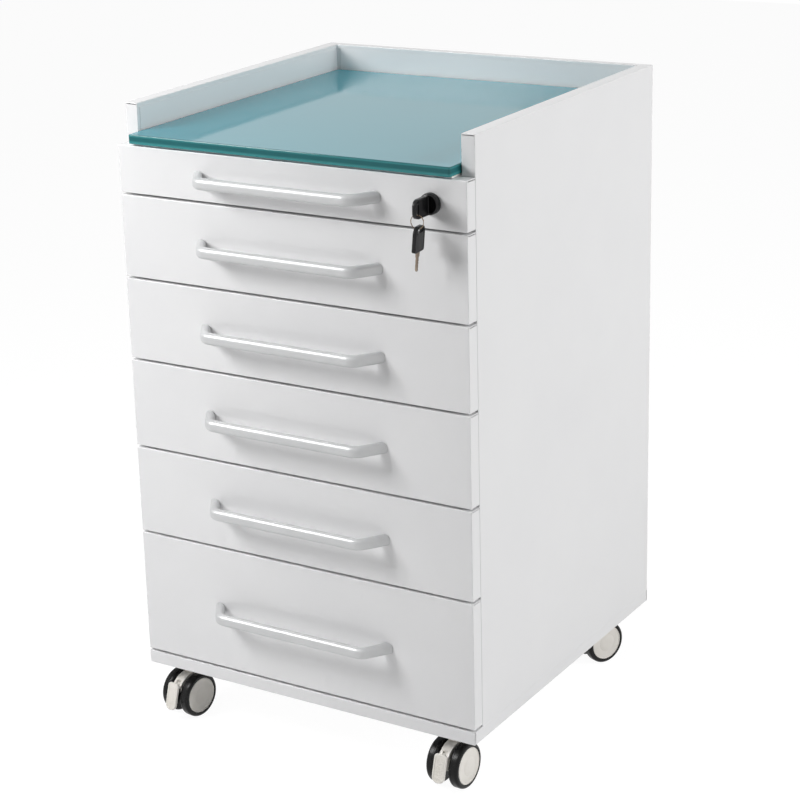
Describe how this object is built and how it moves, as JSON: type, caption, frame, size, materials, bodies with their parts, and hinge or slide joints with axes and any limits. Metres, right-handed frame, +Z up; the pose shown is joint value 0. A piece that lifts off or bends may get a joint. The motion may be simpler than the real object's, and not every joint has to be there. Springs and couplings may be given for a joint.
{
  "type": "mobile dental cabinet",
  "caption": "Floor-standing mobile drawer cabinet on twin-wheel casters, with bow handles, a cam lock with keys, and a glass top inside a raised rim.",
  "frame": {"origin": "on the floor under the middle of the whole object's outline, which runs from the key in the lock to the back", "axes": "+X to the right as seen from the drawer fronts, +Y from the fronts to the back, +Z up"},
  "size_m": [0.5, 0.539, 0.837],
  "materials": {
    "white_steel": "smooth glossy paint",
    "tray_steel": "satin paint",
    "glass": "back-painted, polished",
    "seal": "soft matte",
    "zinc": "zinc plated",
    "handle": "satin anodised",
    "black_plastic": "moulded, semi-gloss",
    "lock_metal": "nickel plated",
    "ring_steel": "nickel plated wire",
    "ivory_plastic": "moulded, satin",
    "tyre": "smooth black rubber"
  },
  "bodies": {
    "cabinet": {"base_pan": "white_steel", "side_panel_left": "white_steel", "side_panel_right": "white_steel", "back_panel": "white_steel", "top_deck": "white_steel", "glass_strips": "seal", "glass_top": "glass", "outer_runners": "zinc", "caster_plates": "zinc", "caster_screws": "zinc"},
    "drawer_1": {"drawer_1_front": "white_steel", "drawer_1_tray": "tray_steel", "drawer_1_handle": "handle", "drawer_1_inner_runners": "zinc", "lock_housing": "black_plastic", "lock_nut": "lock_metal"},
    "runner_1": {"drawer_1_middle_runners": "zinc"},
    "drawer_2": {"drawer_2_front": "white_steel", "drawer_2_tray": "tray_steel", "drawer_2_handle": "handle", "drawer_2_inner_runners": "zinc"},
    "runner_2": {"drawer_2_middle_runners": "zinc"},
    "drawer_3": {"drawer_3_front": "white_steel", "drawer_3_tray": "tray_steel", "drawer_3_handle": "handle", "drawer_3_inner_runners": "zinc"},
    "runner_3": {"drawer_3_middle_runners": "zinc"},
    "drawer_4": {"drawer_4_front": "white_steel", "drawer_4_tray": "tray_steel", "drawer_4_handle": "handle", "drawer_4_inner_runners": "zinc"},
    "runner_4": {"drawer_4_middle_runners": "zinc"},
    "drawer_5": {"drawer_5_front": "white_steel", "drawer_5_tray": "tray_steel", "drawer_5_handle": "handle", "drawer_5_inner_runners": "zinc"},
    "runner_5": {"drawer_5_middle_runners": "zinc"},
    "drawer_6": {"drawer_6_front": "white_steel", "drawer_6_tray": "tray_steel", "drawer_6_handle": "handle", "drawer_6_inner_runners": "zinc"},
    "runner_6": {"drawer_6_middle_runners": "zinc"},
    "plug": {"lock_plug": "black_plastic", "lock_cam": "lock_metal"},
    "key": {"key": "black_plastic"},
    "ring": {"key_ring": "ring_steel"},
    "caster_front_left": {"fork_front_left": "ivory_plastic"},
    "wheels_front_left": {"hubs_front_left": "ivory_plastic", "tyres_front_left": "tyre"},
    "brake_front_left": {"pedal_front_left": "ivory_plastic"},
    "caster_front_right": {"fork_front_right": "ivory_plastic"},
    "wheels_front_right": {"hubs_front_right": "ivory_plastic", "tyres_front_right": "tyre"},
    "brake_front_right": {"pedal_front_right": "ivory_plastic"},
    "caster_rear_left": {"fork_rear_left": "ivory_plastic"},
    "wheels_rear_left": {"hubs_rear_left": "ivory_plastic", "tyres_rear_left": "tyre"},
    "caster_rear_right": {"fork_rear_right": "ivory_plastic"},
    "wheels_rear_right": {"hubs_rear_right": "ivory_plastic", "tyres_rear_right": "tyre"}
  },
  "joints": [
    {"name": "drawer_1_slide", "type": "slide", "parent": "cabinet", "child": "drawer_1", "axis": [0, -1, 0], "range_m": [0, 0.45]},
    {"name": "runner_1_slide", "type": "slide", "parent": "cabinet", "child": "runner_1", "axis": [0, -1, 0], "range_m": [0, 0.225]},
    {"name": "drawer_2_slide", "type": "slide", "parent": "cabinet", "child": "drawer_2", "axis": [0, -1, 0], "range_m": [0, 0.45]},
    {"name": "runner_2_slide", "type": "slide", "parent": "cabinet", "child": "runner_2", "axis": [0, -1, 0], "range_m": [0, 0.225]},
    {"name": "drawer_3_slide", "type": "slide", "parent": "cabinet", "child": "drawer_3", "axis": [0, -1, 0], "range_m": [0, 0.45]},
    {"name": "runner_3_slide", "type": "slide", "parent": "cabinet", "child": "runner_3", "axis": [0, -1, 0], "range_m": [0, 0.225]},
    {"name": "drawer_4_slide", "type": "slide", "parent": "cabinet", "child": "drawer_4", "axis": [0, -1, 0], "range_m": [0, 0.45]},
    {"name": "runner_4_slide", "type": "slide", "parent": "cabinet", "child": "runner_4", "axis": [0, -1, 0], "range_m": [0, 0.225]},
    {"name": "drawer_5_slide", "type": "slide", "parent": "cabinet", "child": "drawer_5", "axis": [0, -1, 0], "range_m": [0, 0.45]},
    {"name": "runner_5_slide", "type": "slide", "parent": "cabinet", "child": "runner_5", "axis": [0, -1, 0], "range_m": [0, 0.225]},
    {"name": "drawer_6_slide", "type": "slide", "parent": "cabinet", "child": "drawer_6", "axis": [0, -1, 0], "range_m": [0, 0.45]},
    {"name": "runner_6_slide", "type": "slide", "parent": "cabinet", "child": "runner_6", "axis": [0, -1, 0], "range_m": [0, 0.225]},
    {"name": "lock_turn", "type": "hinge", "parent": "drawer_1", "child": "plug", "pos_m": [0.2025, -0.2305, 0.7565], "axis": [0, 1, 0], "range_deg": [0, 90]},
    {"name": "key_slide", "type": "slide", "parent": "plug", "child": "key", "axis": [0, -1, 0], "range_m": [0, 0.024]},
    {"name": "ring_swing", "type": "hinge", "parent": "key", "child": "ring", "pos_m": [0.2025, -0.2625, 0.751], "axis": [-1, 0, 0], "range_deg": [-10, 60]},
    {"name": "swivel_front_left", "type": "hinge", "parent": "cabinet", "child": "caster_front_left", "pos_m": [-0.205, -0.1885, 0.075], "axis": [0, 0, 1], "continuous": true},
    {"name": "spin_front_left", "type": "hinge", "parent": "caster_front_left", "child": "wheels_front_left", "pos_m": [-0.20723, -0.20434, 0.03], "axis": [0.9903, -0.1392, 0], "continuous": true},
    {"name": "brake_front_left", "type": "hinge", "parent": "caster_front_left", "child": "brake_front_left", "pos_m": [-0.20959, -0.22118, 0.046], "axis": [0.9903, -0.1392, 0], "range_deg": [0, 12]},
    {"name": "swivel_front_right", "type": "hinge", "parent": "cabinet", "child": "caster_front_right", "pos_m": [0.205, -0.1885, 0.075], "axis": [0, 0, 1], "continuous": true},
    {"name": "spin_front_right", "type": "hinge", "parent": "caster_front_right", "child": "wheels_front_right", "pos_m": [0.20416, -0.20448, 0.03], "axis": [0.9986, -0.0523, 0], "continuous": true},
    {"name": "brake_front_right", "type": "hinge", "parent": "caster_front_right", "child": "brake_front_right", "pos_m": [0.20327, -0.22146, 0.046], "axis": [0.9986, -0.0523, 0], "range_deg": [0, 12]},
    {"name": "swivel_rear_left", "type": "hinge", "parent": "cabinet", "child": "caster_rear_left", "pos_m": [-0.205, 0.2275, 0.075], "axis": [0, 0, 1], "continuous": true},
    {"name": "spin_rear_left", "type": "hinge", "parent": "caster_rear_left", "child": "wheels_rear_left", "pos_m": [-0.19953, 0.21246, 0.03], "axis": [0.9397, 0.342, 0], "continuous": true},
    {"name": "swivel_rear_right", "type": "hinge", "parent": "cabinet", "child": "caster_rear_right", "pos_m": [0.205, 0.2275, 0.075], "axis": [0, 0, 1], "continuous": true},
    {"name": "spin_rear_right", "type": "hinge", "parent": "caster_rear_right", "child": "wheels_rear_right", "pos_m": [0.19849, 0.21288, 0.03], "axis": [0.9135, -0.4067, 0], "continuous": true}
  ],
  "couplings": [
    {"joint": "runner_1_slide", "follows": "drawer_1_slide", "ratio": 0.5},
    {"joint": "runner_2_slide", "follows": "drawer_2_slide", "ratio": 0.5},
    {"joint": "runner_3_slide", "follows": "drawer_3_slide", "ratio": 0.5},
    {"joint": "runner_4_slide", "follows": "drawer_4_slide", "ratio": 0.5},
    {"joint": "runner_5_slide", "follows": "drawer_5_slide", "ratio": 0.5},
    {"joint": "runner_6_slide", "follows": "drawer_6_slide", "ratio": 0.5}
  ]
}
